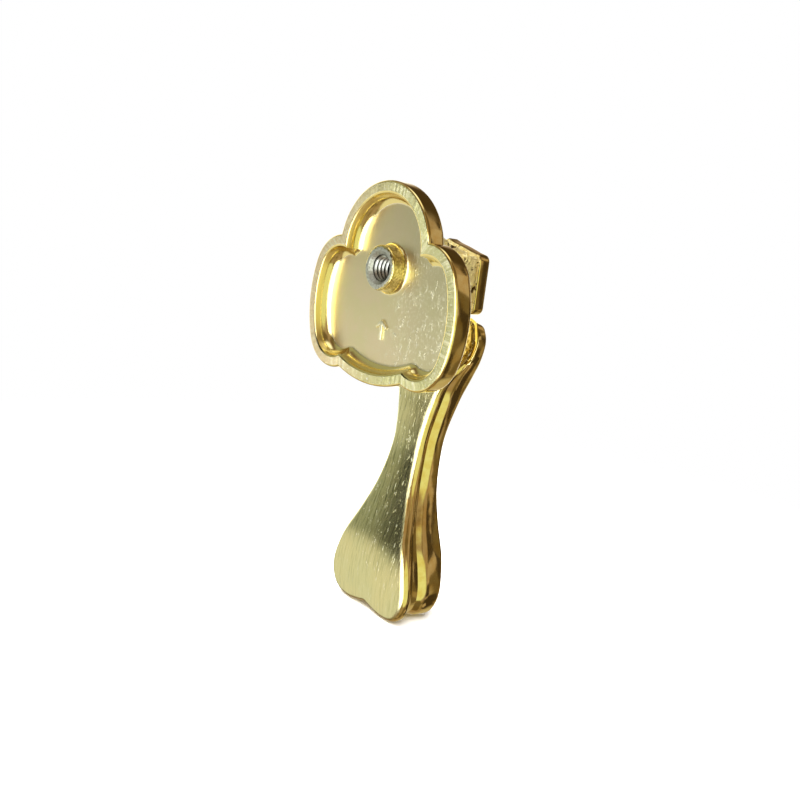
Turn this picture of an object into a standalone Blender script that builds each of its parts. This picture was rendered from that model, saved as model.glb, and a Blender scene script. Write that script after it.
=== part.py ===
"""A hinged drop pull for a drawer or cupboard door: a lobed backplate with a tapped boss, a clevis post, a front cap,
a hinge pin and a bone-shaped pendant. X runs across the pull, +Y points out of the furniture and +Z up. The origin is
the fixing screw's axis, on the furniture's face."""

import math

import bmesh
import bpy
from mathutils import Vector

MM = 0.001
FIT_GAP = 0.3  # between pieces that touch; every size below is in millimetres
PIN_GAP = 0.1  # running clearance round the hinge pin

# Backplate: its edge is a top lobe, two side lobes and a bottom lobe, which meet in crisp corners.
PLATE_THICK = 3.45
TOP_LOBE_R = 10.3
TOP_LOBE_Z = 2.3
SIDE_LOBE_X = 9.85
SIDE_LOBE_TOP_Z = -2.2
SIDE_LOBE_BOTTOM_Z = -10.1
SIDE_CORNER_R = 6.5
SIDE_R = 18.35
BOTTOM_LOBE_R = 21.0
PLATE_BOTTOM_Z = -17.5
RIM_WIDTH = 1.8
RECESS_DEPTH = 2.4
RECESS_FILLET = 0.8
BACK_EDGE_R = 0.45
FRONT_EDGE_R = 1.05

# Tapped boss behind the plate, and the neck in front that the post slides over.
BOSS_R = 3.35
BOSS_FILLET = 0.8
BOSS_EDGE_R = 0.35
TAP_HOLE_R = 1.65
TAP_CHAMFER_R = 2.45
TAP_DEPTH = 6.2
NECK_R = 3.6
NECK_LENGTH = 3.2
ARROW_X = -0.5
ARROW_Z = -9.2
ARROW_HEIGHT = 3.2
ARROW_WIDTH = 2.6
ARROW_BARB = 1.2
ARROW_STROKE = 0.6
ARROW_RISE = 0.35

# Hinge: the pendant's knuckle turns on a pin between the cap's cheeks.
PIVOT_Y = 14.9
PIVOT_Z = 0.5
PIN_R = 0.9
PIN_INSET = 0.25  # how far the pin's end lies inside the cap's left side
PIN_WALL = 1.3  # left in the cap's right side, where the pin's hole ends
KNUCKLE_R = 2.1
KNUCKLE_HALF = 2.5

# Post between the plate and the cap.
POST_HALF = 5.4
POST_TOP_Z = 4.2
POST_BOTTOM_Z = -5.0
POST_EDGE_R = 0.8
CROSSBAR_HALF = 7.2
CROSSBAR_TOP_Z = 3.3
CROSSBAR_BOTTOM_Z = -1.2
CROSSBAR_BACK_Y = 10.6
CROSSBAR_EDGE_R = 0.3

# Cap: a domed plate with a low gable for its top, slotted for the knuckle.
CAP_BACK_Y = 13.45
CAP_WALL = 2.5
CAP_EDGE_R = 0.8
CAP_BACK_R = 0.25
CAP_CROWN = 0.9
CAP_HALF = 7.45
CAP_BOTTOM_Z = -5.5
CAP_SHOULDER_Z = 3.75
CAP_PEAK_Z = 5.7
CAP_CORNER_R = 1.1
PEG_R = 1.0
PEG_LENGTH = 1.5

# Pendant. Its edge is a smooth curve through the points below, from the head's top corner down to the bottom notch.
HEAD_GAP = 0.4  # from the cap's bottom to the head's top, at the back
HEAD_SLOPE = 0.42  # how steeply the head's top falls towards the front
HEAD_SLOPE_REACH = 2.5  # how far down the slope dies out
HEAD_CORNER = 1.0
PENDANT_EDGE = (
    (8.1, -6.5), (8.5, -7.8), (8.75, -9.8), (7.95, -12.6), (6.3, -15.7), (4.75, -19.4), (3.75, -24.5), (3.65, -28.5),
    (4.5, -34.5), (6.4, -40.3), (8.45, -45.3), (9.45, -49.8), (8.75, -52.9), (6.9, -54.6), (4.2, -55.0), (1.7, -54.6),
)  # fmt: skip
NOTCH_Z = -54.15
# Heights, and how far out the back, the step between the two tiers and the front edge lie there.
TIER_Z = (-5.0, -12.0, -16.0, -20.0, -24.5, -29.0, -34.0, -39.0, -43.5, -48.5, -55.0)
BACK_Y = (13.45, 13.2, 11.0, 10.45, 9.95, 9.3, 8.1, 6.65, 5.25, 4.6, 4.5)
STEP_Y = (14.1, 14.3, 14.4, 14.4, 13.8, 13.1, 12.2, 11.0, 10.5, 10.3, 10.1)
FRONT_Y = (15.9, 16.5, 16.9, 16.5, 15.6, 14.9, 14.3, 13.9, 13.7, 13.0, 12.2)
PENDANT_CROWN = 0.9
TIER_COVE = 0.9
BACK_ROUND = 0.5
BACK_BAND = 0.6
FRONT_ROUND = 0.8
TONGUE_BACK_Y = 10.9
TONGUE_FOOT_Z = -17.5
TONGUE_BEND_Z = -9.5

CORNER_STEPS = 9  # points in each arc of the plate's corners and lobes
EDGE_STEPS = 3  # points in the quarter turn of a rounded edge
CURVE_STEPS = 3  # points between two points of a smooth edge


def arc(centre, radius, start, end, steps=EDGE_STEPS):
    """Points on a circle from one angle to another, both in radians and counted from +X towards +Z."""
    angles = [start + (end - start) * i / steps for i in range(steps + 1)]
    return [Vector((centre[0] + radius * math.cos(a), centre[1] + radius * math.sin(a))) for a in angles]


def angle_from(centre, point):
    return math.atan2(point[1] - centre[1], point[0] - centre[0])


def circles_cross(c0, r0, c1, r1, up):
    """The higher crossing of two circles when up is 1, and the lower when it is -1."""
    between = Vector(c1) - Vector(c0)
    along = (r0**2 - r1**2 + between.length_squared) / (2 * between.length)
    side = math.sqrt(max(r0**2 - along**2, 0))
    unit = between.normalized()
    ends = [Vector(c0) + unit * along + Vector((-unit.y, unit.x)) * side * turn for turn in (1, -1)]
    return max(ends, key=lambda point: point.y * up)


def mirrored(right_half):
    """A closed outline from its right half, which runs down from the top middle to the bottom middle."""
    return right_half + [Vector((-p.x, p.y)) for p in reversed(right_half) if p.x > 1e-6]


def plate_outline(inset, corner_inset=None):
    """The backplate's edge, moved inwards. Every arc keeps its centre and ends where it would with corner_inset, so
    the corners stay crisp up to that inset and are cut across beyond it."""
    held = inset if corner_inset is None else corner_inset
    top = (0, TOP_LOBE_Z)
    upper = (SIDE_LOBE_X, SIDE_LOBE_TOP_Z)
    lower = (SIDE_LOBE_X, SIDE_LOBE_BOTTOM_Z)
    reach = SIDE_R - SIDE_CORNER_R
    middle_z = (SIDE_LOBE_TOP_Z + SIDE_LOBE_BOTTOM_Z) / 2
    side = (SIDE_LOBE_X - math.sqrt(reach**2 - (SIDE_LOBE_TOP_Z - middle_z) ** 2), middle_z)
    bottom = (0, PLATE_BOTTOM_Z + BOTTOM_LOBE_R)
    shoulder = circles_cross(top, TOP_LOBE_R - held, upper, SIDE_CORNER_R - held, 1)
    hip = circles_cross(lower, SIDE_CORNER_R - held, bottom, BOTTOM_LOBE_R - held, -1)
    if hip.y > lower[1]:
        raise ValueError("the bottom lobe misses the side lobes")
    points = arc(top, TOP_LOBE_R - inset, math.pi / 2, angle_from(top, shoulder), CORNER_STEPS)
    points += arc(upper, SIDE_CORNER_R - inset, angle_from(upper, shoulder), angle_from(side, upper), CORNER_STEPS)
    points += arc(side, SIDE_R - inset, angle_from(side, upper), angle_from(side, lower), CORNER_STEPS // 2)[1:]
    points += arc(lower, SIDE_CORNER_R - inset, angle_from(side, lower), angle_from(lower, hip), CORNER_STEPS)[1:]
    points += arc(bottom, BOTTOM_LOBE_R - inset, angle_from(bottom, hip), -math.pi / 2, CORNER_STEPS // 2)
    points[0].x = points[-1].x = 0
    return mirrored(points)


def rounded(radius, steps=EDGE_STEPS):
    """(inset, rise) pairs of a rounded edge, from the side wall to the face."""
    turns = [math.pi / 2 * i / steps for i in range(steps + 1)]
    return [(radius * (1 - math.cos(a)), radius * math.sin(a)) for a in turns]


def smooth(points, steps=CURVE_STEPS):
    """A smooth curve through points in two dimensions."""
    path = []
    for i in range(len(points) - 1):
        before, start, end, after = (Vector(points[min(max(k, 0), len(points) - 1)]) for k in range(i - 1, i + 3))
        for j in range(steps):
            t = j / steps
            pull = (end - before) * (t**3 - 2 * t**2 + t) / 2 + (after - start) * (t**3 - t**2) / 2
            path.append(start * (2 * t**3 - 3 * t**2 + 1) + end * (3 * t**2 - 2 * t**3) + pull)
    return path + [Vector(points[-1])]


def level(heights, values, z):
    """The value at height z of a smooth curve through (height, value) pairs, whose heights fall."""
    z = min(max(z, heights[-1]), heights[0])
    i = next(k for k in range(len(heights) - 1) if z >= heights[k + 1])
    before, after = max(i - 1, 0), min(i + 2, len(heights) - 1)
    span = heights[i + 1] - heights[i]
    t = (z - heights[i]) / span
    start_slope = (values[i + 1] - values[before]) / (heights[i + 1] - heights[before]) * span
    end_slope = (values[after] - values[i]) / (heights[after] - heights[i]) * span
    return (
        values[i] * (2 * t**3 - 3 * t**2 + 1)
        + values[i + 1] * (3 * t**2 - 2 * t**3)
        + start_slope * (t**3 - 2 * t**2 + t)
        + end_slope * (t**3 - t**2)
    )


def cap_outline():
    """The cap's edge: a flat bottom with round corners, upright sides, and shoulders that rise to a low point."""
    low = (CAP_HALF - CAP_CORNER_R, CAP_BOTTOM_Z + CAP_CORNER_R)
    high = (CAP_HALF - CAP_CORNER_R, CAP_SHOULDER_Z - CAP_CORNER_R)
    rise = CAP_PEAK_Z - CAP_SHOULDER_Z
    sweep = [(0, 1), (0.2, 0.76), (0.5, 0.5), (0.85, 0.14)]  # share of the way to the side, and of the rise
    points = smooth([(high[0] * across, CAP_SHOULDER_Z + rise * up) for across, up in sweep])
    points += arc(high, CAP_CORNER_R, math.radians(75), 0)
    points += arc(low, CAP_CORNER_R, 0, -math.pi / 2)
    return mirrored(points + [Vector((0, CAP_BOTTOM_Z))])


def pendant_outline():
    """The pendant's edge: the head's flat top, its sides, the waist, the broad end and the notch in its bottom."""
    top = CAP_BOTTOM_Z - HEAD_GAP
    side = smooth([(PENDANT_EDGE[0][0] - HEAD_CORNER, top), *PENDANT_EDGE, (0, NOTCH_Z)])
    flat = [Vector((x, top)) for x in (0, KNUCKLE_HALF, side[0].x * 0.7)]
    return mirrored(flat + side)


def inwards(outline, distance):
    """The outline moved inwards along its own normals. It turns clockwise, so inwards is to its right."""
    moved = []
    for i, point in enumerate(outline):
        along = (outline[(i + 1) % len(outline)] - outline[i - 1]).normalized()
        moved.append(point + Vector((along.y, -along.x)) * distance)
    return moved


def towards(outline, spine, share):
    """The outline drawn towards an upright spine from spine[0] down to spine[1], which it reaches at share 1."""
    ends = [Vector((0, min(max(p.y, spine[1]), spine[0]))) for p in outline]
    return [p.lerp(end, share) for p, end in zip(outline, ends)]


def new_object(name, bm, parent_at=None):
    """Makes a mesh object from shapes in millimetres, with its origin at parent_at."""
    at = Vector(parent_at or (0, 0, 0))
    bmesh.ops.recalc_face_normals(bm, faces=bm.faces)
    bmesh.ops.translate(bm, verts=bm.verts, vec=-at)
    bmesh.ops.scale(bm, verts=bm.verts, vec=(MM, MM, MM))
    mesh = bpy.data.meshes.new(name)
    bm.to_mesh(mesh)
    bm.free()
    mesh.shade_smooth()
    mesh.set_sharp_from_angle(angle=math.radians(35))
    obj = bpy.data.objects.new(name, mesh)
    obj.location = at * MM
    bpy.context.scene.collection.objects.link(obj)
    return obj


def skin(bm, rings, first_spine=False, last_spine=False):
    """Joins rings of the same count of points. It closes the first and the last with a face, or welds one that has
    been drawn onto its spine."""
    loops = [[bm.verts.new(point) for point in ring] for ring in rings]
    for first, second in zip(loops, loops[1:]):
        for i in range(len(first)):
            j = (i + 1) % len(first)
            bm.faces.new((first[i], first[j], second[j], second[i]))
    if not first_spine:
        bm.faces.new(loops[0])
    if not last_spine:
        bm.faces.new(list(reversed(loops[-1])))
    bmesh.ops.remove_doubles(bm, verts=bm.verts, dist=1e-3)


def turned(profile, centre=(0, 0), steps=40):
    """A solid turned about the Y direction through centre, from (radius, y) pairs."""
    bm = bmesh.new()
    angles = [2 * math.pi * i / steps for i in range(steps)]
    rings = [[(centre[0] + r * math.cos(a), y, centre[1] + r * math.sin(a)) for a in angles] for r, y in profile]
    skin(bm, rings)
    return bm


def rod(radius, left, right, at, steps=32):
    """A round bar along X, centred on at = (y, z)."""
    bm = bmesh.new()
    angles = [2 * math.pi * i / steps for i in range(steps)]
    skin(bm, [[(x, at[0] + radius * math.cos(a), at[1] + radius * math.sin(a)) for a in angles] for x in (left, right)])
    return bm


def block(low, high):
    bm = bmesh.new()
    bmesh.ops.create_cube(bm, size=1)
    size = Vector(high) - Vector(low)
    bmesh.ops.scale(bm, verts=bm.verts, vec=size)
    bmesh.ops.translate(bm, verts=bm.verts, vec=(Vector(low) + Vector(high)) / 2)
    return bm


def combine(target, name, operation, bm):
    """Adds or cuts a shape with a Boolean modifier, whose operand stays hidden."""
    tool = new_object(name, bm)
    tool.hide_render = True
    tool.display_type = "WIRE"
    modifier = target.modifiers.new(name, "BOOLEAN")
    modifier.object = tool
    modifier.operation = operation
    modifier.solver = "EXACT"
    tool.parent = target
    tool.matrix_parent_inverse = target.matrix_basis.inverted()


def material(obj, name, color, roughness, metallic=1.0):
    surface = bpy.data.materials.new(name)
    surface.use_nodes = True
    shader = surface.node_tree.nodes["Principled BSDF"]
    shader.inputs["Base Color"].default_value = (*color, 1)
    shader.inputs["Roughness"].default_value = roughness
    shader.inputs["Metallic"].default_value = metallic
    surface.diffuse_color = (*color, 1)
    obj.data.materials.append(surface)


def backplate():
    """The dished plate with the tapped boss in its recess, a raised arrow that shows which way is up, and the neck."""
    layers = [(inset, PLATE_THICK - FRONT_EDGE_R + rise) for inset, rise in reversed(rounded(FRONT_EDGE_R))]
    layers += [(inset, BACK_EDGE_R - rise) for inset, rise in rounded(BACK_EDGE_R)]
    layers += [(RIM_WIDTH, 0)]
    layers += [(RIM_WIDTH + inset, RECESS_DEPTH - RECESS_FILLET + rise) for inset, rise in rounded(RECESS_FILLET)]
    bm = bmesh.new()
    skin(bm, [[(p.x, y, p.y) for p in plate_outline(inset, min(inset, RIM_WIDTH))] for inset, y in layers])
    plate = new_object("backplate", bm)

    fillet = [(BOSS_R + inset, RECESS_DEPTH - BOSS_FILLET + rise) for inset, rise in rounded(BOSS_FILLET)]
    edge = [(BOSS_R - inset, BOSS_EDGE_R - rise) for inset, rise in reversed(rounded(BOSS_EDGE_R))]
    root = [(BOSS_R + BOSS_FILLET, (RECESS_DEPTH + PLATE_THICK) / 2)]
    combine(plate, "boss", "UNION", turned(edge + fillet + root))
    neck_end = PLATE_THICK + NECK_LENGTH
    combine(plate, "neck", "UNION", turned([(NECK_R, RECESS_DEPTH + 0.4), (NECK_R, neck_end)]))

    half, stroke, tip = ARROW_WIDTH / 2, ARROW_STROKE / 2, ARROW_HEIGHT / 2
    arrow = [(0, tip), (half, tip - ARROW_BARB), (half - stroke, tip - ARROW_BARB - stroke)]
    arrow += [(stroke, tip - 3 * stroke), (stroke, -tip), (0, -tip)]
    shape = [p + Vector((ARROW_X, ARROW_Z)) for p in mirrored([Vector(point) for point in arrow])]
    bm = bmesh.new()
    skin(bm, [[(p.x, y, p.y) for p in shape] for y in (RECESS_DEPTH - ARROW_RISE, RECESS_DEPTH + FIT_GAP)])
    combine(plate, "arrow", "UNION", bm)

    chamfer = TAP_CHAMFER_R - TAP_HOLE_R
    hole = [(TAP_CHAMFER_R + 0.5, -0.5), (TAP_HOLE_R, chamfer), (TAP_HOLE_R, TAP_DEPTH)]
    combine(plate, "tap_hole", "DIFFERENCE", turned(hole))
    material(plate, "gold_plate", (0.78, 0.62, 0.30), 0.28)


def pin_space(left, right):
    """What is drilled out for the hinge pin."""
    return rod(PIN_R + PIN_GAP, left, right, (PIVOT_Y, PIVOT_Z))


def slot(half):
    """The space in the middle that the knuckle turns in: open at the bottom, and closed above by a round ceiling."""
    reach = KNUCKLE_R + FIT_GAP
    bm = block((-half, PIVOT_Y - reach, POST_BOTTOM_Z - 5), (half, PIVOT_Y + 10, PIVOT_Z + reach))
    return bm


def hinge_post():
    """A clevis that slides over the plate's neck and carries the cap, with a crossbar behind the cap."""
    back, front = PLATE_THICK + FIT_GAP, CAP_BACK_Y - FIT_GAP
    bm = block((-POST_HALF, back, POST_BOTTOM_Z), (POST_HALF, front, POST_TOP_Z))
    upright = [e for e in bm.edges if abs(e.verts[0].co.y - e.verts[1].co.y) > 1]
    bmesh.ops.bevel(bm, geom=upright, offset=POST_EDGE_R, segments=EDGE_STEPS, affect="EDGES")
    post = new_object("hinge_post", bm)
    bar = block((-CROSSBAR_HALF, CROSSBAR_BACK_Y, CROSSBAR_BOTTOM_Z), (CROSSBAR_HALF, front, CROSSBAR_TOP_Z))
    bmesh.ops.bevel(bar, geom=bar.edges[:], offset=CROSSBAR_EDGE_R, segments=2, affect="EDGES")
    combine(post, "crossbar", "UNION", bar)
    combine(post, "neck_socket", "DIFFERENCE", turned(
        [(NECK_R + FIT_GAP, back - 1), (NECK_R + FIT_GAP, PLATE_THICK + NECK_LENGTH + FIT_GAP)]
    ))  # fmt: skip
    combine(post, "post_slot", "DIFFERENCE", slot(KNUCKLE_HALF + FIT_GAP))
    for side in (-1, 1):
        peg = turned([(PEG_R, front - 1), (PEG_R, front + PEG_LENGTH)], (side * peg_x(), peg_z()), 20)
        combine(post, f"peg_{side}", "UNION", peg)
    material(post, "gold_post", (0.72, 0.55, 0.24), 0.35)


def peg_x():
    """The pegs stand in the middle of the post's ears."""
    return (KNUCKLE_HALF + FIT_GAP + POST_HALF) / 2


def peg_z():
    """The pegs lie below the pin and clear its hole."""
    return PIVOT_Z - (PIN_R + PIN_GAP + PEG_R + 2 * FIT_GAP)


def front_cap():
    """The domed cap, slotted for the knuckle and drilled across for the pin."""
    outline = cap_outline()
    spine = (CAP_SHOULDER_Z - 2, CAP_BOTTOM_Z + 3)
    wall_top = CAP_BACK_Y + CAP_WALL
    layers = [(CAP_BACK_R, CAP_BACK_Y), (0, CAP_BACK_Y + CAP_BACK_R)]
    layers += [(inset, wall_top - CAP_EDGE_R + rise) for inset, rise in rounded(CAP_EDGE_R)]
    for share in (0.35, 0.7, 1):
        layers.append((CAP_EDGE_R + share * (CAP_HALF - CAP_EDGE_R), wall_top + CAP_CROWN * (1 - (1 - share) ** 2)))
    bm = bmesh.new()
    rings = [[(p.x, y, p.y) for p in towards(outline, spine, inset / CAP_HALF)] for inset, y in layers]
    skin(bm, rings, last_spine=True)
    cap = new_object("front_cap", bm)
    combine(cap, "cap_slot", "DIFFERENCE", slot(KNUCKLE_HALF + FIT_GAP))
    combine(cap, "cap_pin_hole", "DIFFERENCE", pin_space(-CAP_HALF - 2, CAP_HALF - PIN_WALL))
    for side in (-1, 1):
        hole = turned(
            [(PEG_R + FIT_GAP, CAP_BACK_Y - 1), (PEG_R + FIT_GAP, CAP_BACK_Y - FIT_GAP + PEG_LENGTH + FIT_GAP)],
            (side * peg_x(), peg_z()), 20,
        )  # fmt: skip
        combine(cap, f"peg_hole_{side}", "DIFFERENCE", hole)
    material(cap, "gold_cap", (0.85, 0.66, 0.28), 0.16)


def hinge_pin():
    """The plain pin. It goes in from the left, and its hole is blind."""
    ends = PIN_INSET - CAP_HALF, CAP_HALF - PIN_WALL - FIT_GAP
    pin = new_object("hinge_pin", rod(PIN_R, *ends, (PIVOT_Y, PIVOT_Z)))
    material(pin, "steel_pin", (0.55, 0.53, 0.50), 0.3)


def pendant():
    """The hanging handle: a flat-backed tier, a step, a domed front tier, and a tongue with the knuckle."""
    outline = pendant_outline()
    spine = (CAP_BOTTOM_Z - HEAD_GAP - 4.5, PENDANT_EDGE[-3][1] + 6.5)

    top = CAP_BOTTOM_Z - HEAD_GAP

    def ring(points, depth):
        """The points placed at the depth that their own height gives, with the head's top sloped."""
        placed = []
        for p in points:
            y = depth(p.y)
            near_top = max(0, 1 - (top - p.y) / HEAD_SLOPE_REACH)
            placed.append((p.x, y, p.y - HEAD_SLOPE * max(0, y - BACK_Y[0]) * near_top))
        return placed

    def back(z):
        return level(TIER_Z, BACK_Y, z)

    def step(z):
        return level(TIER_Z, STEP_Y, z)

    def front(z):
        return level(TIER_Z, FRONT_Y, z)

    def between(z, share):
        return back(z) + (step(z) - back(z)) * share

    band = BACK_ROUND + BACK_BAND
    rings = [ring(towards(inwards(outline, BACK_ROUND), spine, s), back) for s in (1, 0.6, 0.3)]
    for inset, rise in reversed(rounded(BACK_ROUND)):
        rings.append(ring(inwards(outline, inset), lambda z, r=rise: min(back(z) + BACK_ROUND - r, between(z, 0.3))))
    rings.append(ring(outline, lambda z: min(back(z) + band, between(z, 0.4))))
    rings.append(ring(inwards(outline, TIER_COVE), lambda z: between(z, 0.62)))
    rings.append(ring(inwards(outline, 0.15), step))
    for inset, rise in rounded(FRONT_ROUND):
        rings.append(ring(inwards(outline, inset), lambda z, r=rise: front(z) - FRONT_ROUND + r))
    for share in (0.35, 0.7, 1):
        crown = PENDANT_CROWN * (1 - (1 - share) ** 2)
        rings.append(ring(towards(inwards(outline, FRONT_ROUND), spine, share), lambda z, c=crown: front(z) + c))
    bm = bmesh.new()
    skin(bm, rings, first_spine=True, last_spine=True)
    body = new_object("pendant", bm, (0, PIVOT_Y, PIVOT_Z))

    profile = [
        (PIVOT_Y + KNUCKLE_R, PIVOT_Z), (PIVOT_Y + KNUCKLE_R - 0.4, top - 3), (front(TONGUE_FOOT_Z) - 3, TONGUE_FOOT_Z),
        (TONGUE_BACK_Y, TONGUE_FOOT_Z), (TONGUE_BACK_Y, TONGUE_BEND_Z), (PIVOT_Y - KNUCKLE_R, top),
        (PIVOT_Y - KNUCKLE_R, PIVOT_Z),
    ]  # fmt: skip
    bm = bmesh.new()
    skin(bm, [[(x, y, z) for y, z in profile] for x in (-KNUCKLE_HALF, KNUCKLE_HALF)])
    combine(body, "tongue", "UNION", bm)
    combine(body, "knuckle", "UNION", rod(KNUCKLE_R, -KNUCKLE_HALF, KNUCKLE_HALF, (PIVOT_Y, PIVOT_Z)))
    combine(body, "pin_hole", "DIFFERENCE", pin_space(-KNUCKLE_HALF - 2, KNUCKLE_HALF + 2))
    material(body, "gold_pendant", (0.80, 0.66, 0.34), 0.22)


for old in list(bpy.data.objects):
    bpy.data.objects.remove(old, do_unlink=True)
backplate()
hinge_post()
front_cap()
hinge_pin()
pendant()
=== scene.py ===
"""The finished look of a hinged, gold-plated drop pull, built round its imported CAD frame.

X runs across the pull, +Y points out of the furniture and +Z up. The origin is where the fixing screw leaves
the furniture."""

import math

import bmesh
import bpy
from mathutils import Matrix, Vector


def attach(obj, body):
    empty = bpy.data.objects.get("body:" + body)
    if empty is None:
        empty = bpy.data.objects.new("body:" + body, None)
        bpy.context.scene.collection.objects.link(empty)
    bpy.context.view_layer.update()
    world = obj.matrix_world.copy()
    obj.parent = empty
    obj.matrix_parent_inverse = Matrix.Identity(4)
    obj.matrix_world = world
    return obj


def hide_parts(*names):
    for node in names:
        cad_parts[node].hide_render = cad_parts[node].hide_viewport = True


MM = 0.001  # every size below is in millimetres
SHARP = math.radians(38)

# Backplate
PLATE_THICK = 3.45
TOP_LOBE_R = 10.3
TOP_LOBE_Z = 2.3
SIDE_LOBE_X = 9.85
SIDE_LOBE_TOP_Z = -2.2
SIDE_LOBE_BOTTOM_Z = -10.1
SIDE_CORNER_R = 6.5
SIDE_R = 18.35
BOTTOM_LOBE_R = 21.0
PLATE_BOTTOM_Z = -17.5
RIM_WIDTH = 1.8
RIM_BURR = 0.26  # width of the worn line along the rim's inner edge
RIM_BURR_DROP = 0.12
RECESS_DEPTH = 2.4
RECESS_FILLET = 2.0
FILLET_TURN = 68  # degrees of the quarter circle, so that a fillet meets the floor in a crisp line
RING_GAP = 0.08  # from an edge to the ring beside it that keeps it crisp
FLOOR_SHARE = 0.985  # how far out the floor's first ring lies, as a share of the fillet's last ring
LEAST_TURN = 0.002  # radians between neighbouring points of a floor ring
RECESS_MIDDLE_Z = -3.0
RIM_CLEAR_R = 6.0  # the whole rim lies further than this from the screw's axis
BACK_EDGE_R = 0.42
FRONT_EDGE_R = 1.05

# Tapped boss
BOSS_R = 3.35
BOSS_FILLET = 0.9
BOSS_EDGE_R = 0.3
TAP_CHAMFER_R = 2.5
THREAD_OUTER_R = 2.0
TAP_CHAMFER = TAP_CHAMFER_R - THREAD_OUTER_R
THREAD_INNER_R = 1.66
THREAD_PITCH = 0.7
THREAD_WIDTH = 0.88 * THREAD_PITCH
THREAD_SINK = 0.03
TAP_DEPTH = 6.2
TAP_RUNOUT = 1.2
DRILL_TIP = 0.8
DRILL_TIP_R = 0.6

# Arrow that shows which way is up
ARROW_X = -0.5
ARROW_Z = -9.2
ARROW_HEIGHT = 3.2
ARROW_WIDTH = 2.6
ARROW_BARB = 1.2
ARROW_STROKE = 0.6
ARROW_RISE = 0.35
ARROW_ROOT = 0.2
ARROW_EDGE = 0.09

# Hinge, post and cap
FIT_GAP = 0.3
PIVOT_Y = 14.9
PIVOT_Z = 0.5
PIN_R = 0.9
PIN_GAP = 0.1
PIN_INSET = 0.25
PIN_WALL = 1.3
PIN_EDGE = 0.15
KNUCKLE_R = 2.1
KNUCKLE_HALF = 2.5
POST_HALF = 5.4
POST_TOP_Z = 3.8
POST_BACK_TOP_Z = 6.0
POST_NECK = ((7.4, 5.6), (9.6, 4.5))
POST_BOTTOM_Z = -5.0
POST_EDGE = 0.6
POST_LUMP = 1.7
POST_LUMP_DEPTH = 0.6
SKIN_VOXEL = 0.13
CROSSBAR_HALF = 7.2
CROSSBAR_TOP_Z = 3.3
CROSSBAR_BOTTOM_Z = -1.2
CROSSBAR_BACK_Y = 10.6
CROSSBAR_EDGE = 0.35
CAP_BACK_Y = 13.45
CAP_WALL = 2.5
CAP_EDGE_R = 0.8
CAP_BACK_R = 0.25
CAP_CROWN = 0.9
CAP_HALF = 7.45
CAP_BOTTOM_Z = -5.5
CAP_SHOULDER_Z = 3.75
CAP_PEAK_Z = 5.7
CAP_CORNER_R = 1.1
SLOT_PAST = 5.0  # how far the slot's cutter runs past the post
DRILL_PAST = 2.0

# Pendant: its edge runs from the head's top corner down to the notch in its bottom
HEAD_GAP = 0.4
HEAD_SLOPE = 0.42
HEAD_SLOPE_REACH = 2.5
HEAD_CORNER = 1.0
PENDANT_EDGE = (
    (8.1, -6.5), (8.5, -7.8), (8.75, -9.8), (7.95, -12.6), (6.3, -15.7), (4.75, -19.4), (3.75, -24.5),
    (3.65, -28.5), (4.5, -34.5), (6.4, -40.3), (8.45, -45.3), (9.45, -49.8), (8.75, -52.9), (6.9, -54.6),
    (4.2, -55.0), (1.7, -54.6),
)  # fmt: skip
NOTCH_Z = -54.15
TIER_Z = (-5.0, -12.0, -16.0, -20.0, -24.5, -29.0, -34.0, -39.0, -43.5, -48.5, -55.0)
BACK_Y = (13.45, 13.2, 11.0, 10.45, 9.95, 9.3, 8.1, 6.65, 5.25, 4.6, 4.5)
STEP_Y = (14.1, 14.3, 14.4, 14.4, 13.8, 13.1, 12.2, 11.0, 10.5, 10.3, 10.1)
FRONT_Y = (15.9, 16.5, 16.9, 16.5, 15.6, 14.9, 14.3, 13.9, 13.7, 13.0, 12.2)
PENDANT_CROWN = 0.9
TIER_COVE = 0.9
BACK_ROUND = 1.2
BACK_BAND = 0.1
BACK_CROWN = 0.26
CROWN_SHARE = (1, 1, 0.8, 0.6, 0.5, 0.5, 0.65, 0.85, 1, 1, 1)  # how much of the crown each height has
FRONT_ROUND = 0.8
EDGE_SHARE = 0.36  # the most of the way from back to step that the rounded back edge may take
COVE_SHARE = 0.42  # the most of the way at which the cove starts
STEP_SHARE = 0.66  # the share of the way at which the front tier's step starts
STEP_INSET = 0.15
POLISHED_EDGE_RINGS = 5
TONGUE_BACK_Y = 10.9
TONGUE_FOOT_Z = -17.5
TONGUE_BEND_Z = -9.5
TONGUE_SINK = 3.0
TONGUE_TAPER = 0.4
TONGUE_EDGE = 0.18

# Camera and floor
CAMERA_AT = (88.52, -73.10, 2.24)
CAMERA_FORWARD = (-0.72726, 0.66111, -0.18447)
CAMERA_UP = (-0.21743, 0.03302, 0.97552)
CAMERA_LENS = 34.612
FLOOR_Z = -55.15

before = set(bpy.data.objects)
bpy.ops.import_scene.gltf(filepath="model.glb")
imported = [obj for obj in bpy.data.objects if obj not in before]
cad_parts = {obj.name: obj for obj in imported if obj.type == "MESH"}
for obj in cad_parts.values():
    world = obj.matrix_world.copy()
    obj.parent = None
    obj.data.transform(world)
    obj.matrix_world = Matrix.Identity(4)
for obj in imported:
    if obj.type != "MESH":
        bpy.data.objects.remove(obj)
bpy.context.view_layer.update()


# Outlines, as (x, z) points in millimetres


def arc(centre, radius, start, end, steps):
    """Points on a circle from one angle to another, both in radians and counted from +X towards +Z."""
    angles = [start + (end - start) * i / steps for i in range(steps + 1)]
    return [Vector((centre[0] + radius * math.cos(a), centre[1] + radius * math.sin(a))) for a in angles]


def angle_from(centre, point):
    return math.atan2(point[1] - centre[1], point[0] - centre[0])


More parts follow.
